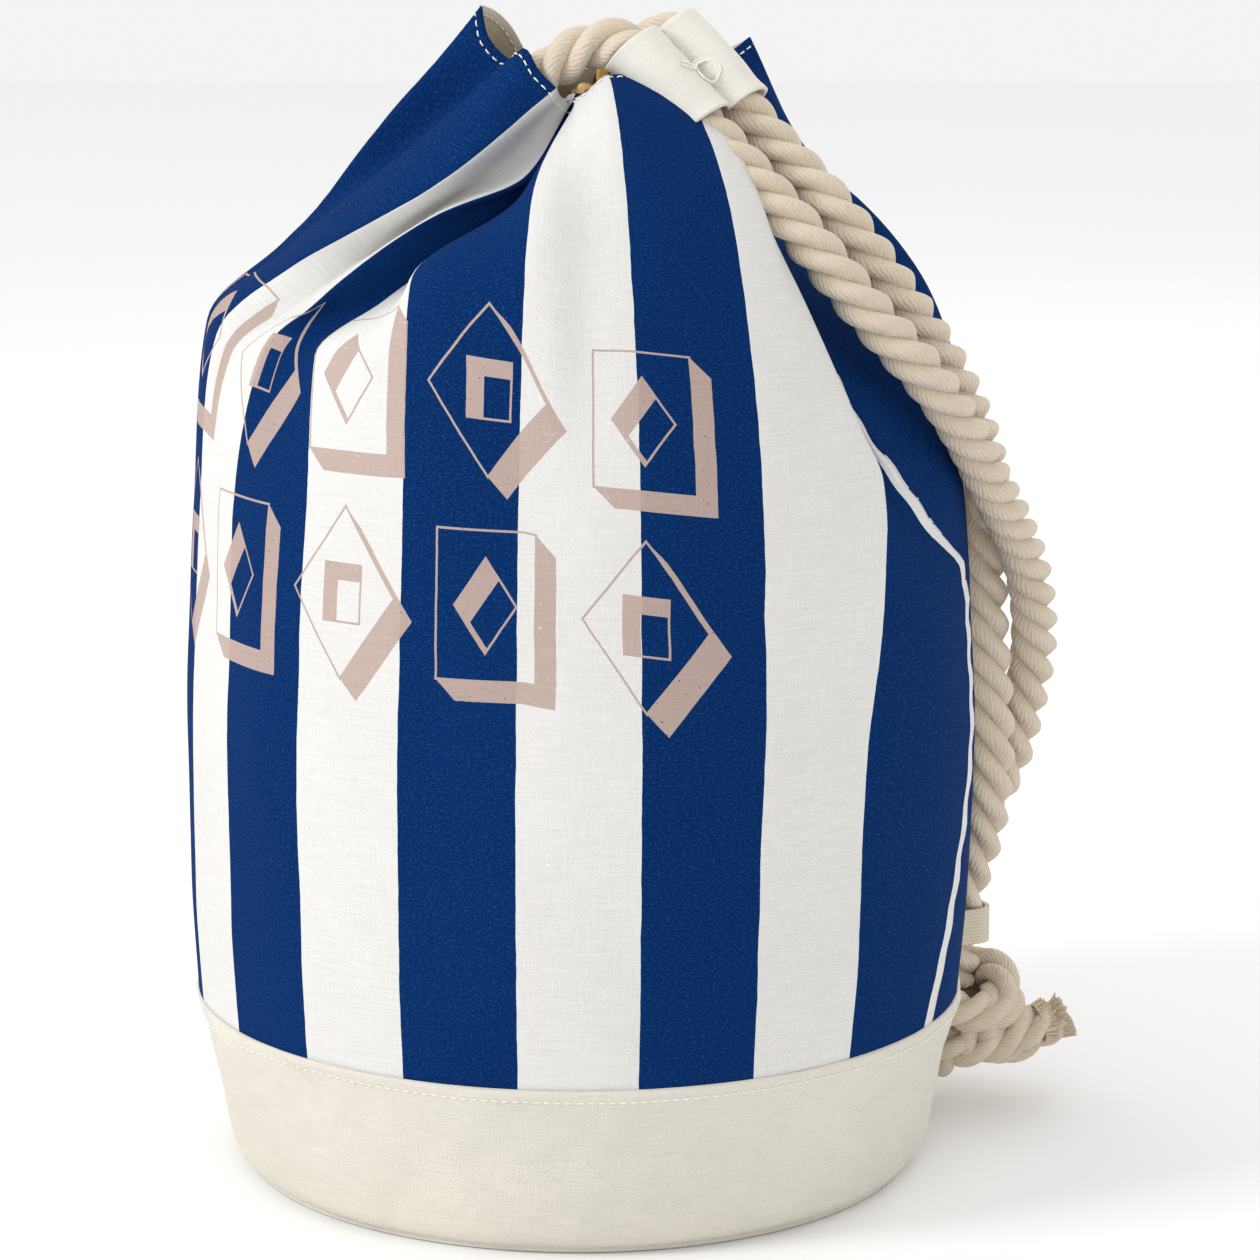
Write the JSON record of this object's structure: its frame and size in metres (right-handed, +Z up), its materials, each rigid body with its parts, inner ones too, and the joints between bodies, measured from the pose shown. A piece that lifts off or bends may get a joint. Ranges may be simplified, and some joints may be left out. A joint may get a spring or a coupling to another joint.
{
  "type": "drawstring duffel bag",
  "caption": "Round canvas drawstring duffel with a striped wall, plain base band, and a thick rope drawn through brass eyelets, a sliding keeper and a side tab to a stopper knot.",
  "frame": {"origin": "centre of the round base, on its underside, where the bag stands", "axes": "+Z up along the bag, -Y towards the front, +X towards the side that the rope tails run down"},
  "size_m": [0.3495, 0.302, 0.4409],
  "materials": {
    "canvas_striped": "plain-weave cotton canvas, printed in blue and white vertical stripes",
    "canvas_natural": "unbleached plain-weave canvas",
    "canvas_keeper": "soft off-white canvas",
    "cotton_rope": "three-strand natural cotton rope",
    "brass": "polished, lightly aged",
    "thread": "white sewing thread"
  },
  "bodies": {
    "bag": {"wall_panel": "canvas_striped", "side_seam_allowance": "canvas_striped", "hem_topstitching": "thread", "base_band": "canvas_natural", "band_topstitching": "thread", "band_seam_tape": "canvas_natural", "base_disc": "canvas_natural", "base_binding": "canvas_natural", "eyelet_1": "brass", "eyelet_2": "brass", "eyelet_3": "brass", "eyelet_4": "brass", "eyelet_5": "brass", "eyelet_6": "brass", "eyelet_7": "brass", "eyelet_8": "brass", "eyelet_washer_1": "brass", "eyelet_washer_2": "brass", "eyelet_washer_3": "brass", "eyelet_washer_4": "brass", "eyelet_washer_5": "brass", "eyelet_washer_6": "brass", "eyelet_washer_7": "brass", "eyelet_washer_8": "brass", "rope": "cotton_rope", "rope_knot": "cotton_rope", "anchor_tab": "canvas_natural", "anchor_tab_stitching": "thread"},
    "keeper": {"keeper_sleeve": "canvas_keeper", "keeper_tack": "thread"}
  },
  "joints": [
    {"name": "keeper_slide", "type": "slide", "parent": "bag", "child": "keeper", "axis": [0.6605, -0.2702, -0.7005], "range_m": [0, 0.048]}
  ]
}
